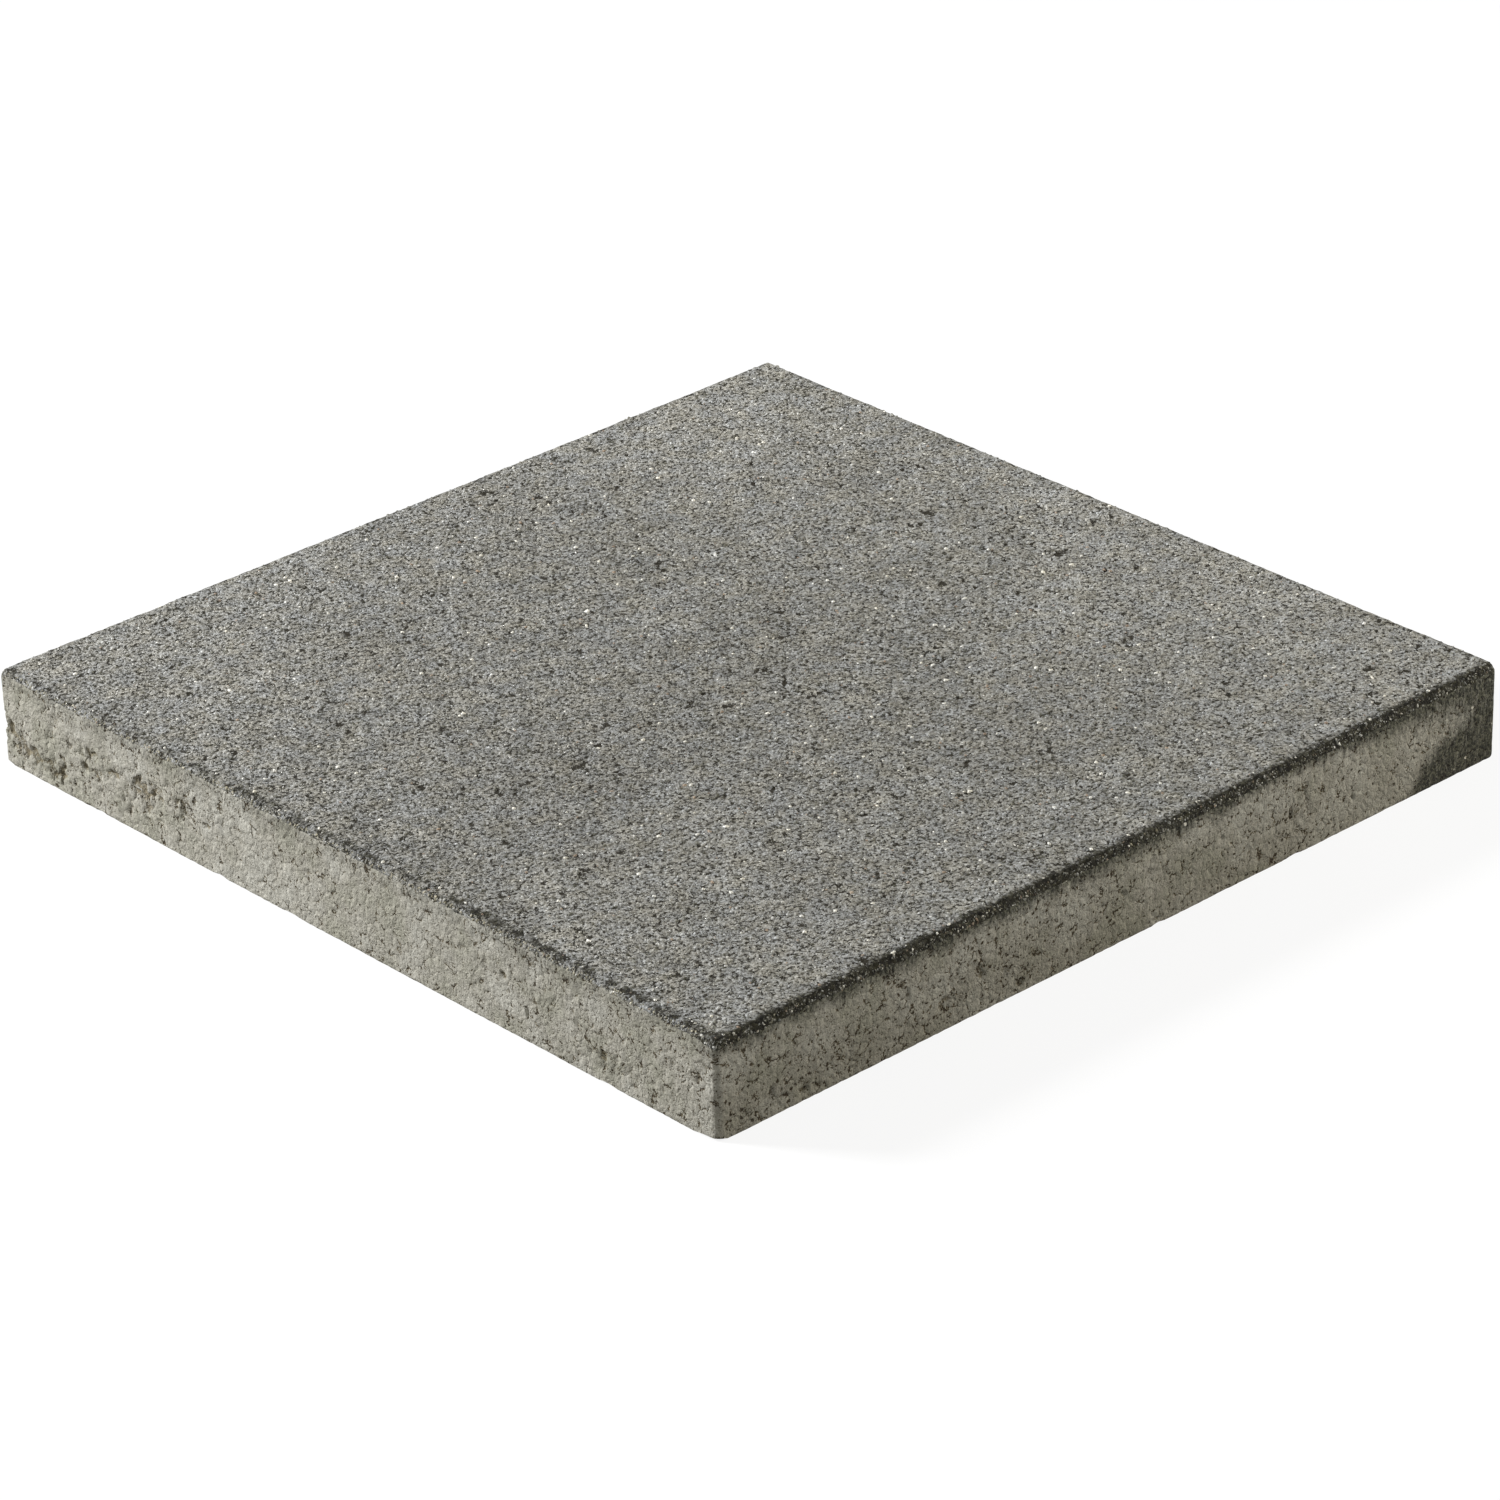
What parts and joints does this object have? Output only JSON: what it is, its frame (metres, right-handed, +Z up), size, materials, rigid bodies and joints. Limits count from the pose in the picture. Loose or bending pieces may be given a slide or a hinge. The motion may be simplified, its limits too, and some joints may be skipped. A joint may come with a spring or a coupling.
{
  "type": "paving slab",
  "caption": "Square concrete paving slab with a shot-blasted granular wearing face, a worn blasted arris and rounded upright corners.",
  "frame": {"origin": "centre of the underside", "axes": "+Z up through the wearing face; X and Y along the two pairs of sides"},
  "size_m": [0.4, 0.4, 0.04],
  "materials": {
    "concrete": "shot-blasted grey top, raw cast sides"
  },
  "bodies": {
    "root": {"slab": "concrete"}
  },
  "joints": []
}
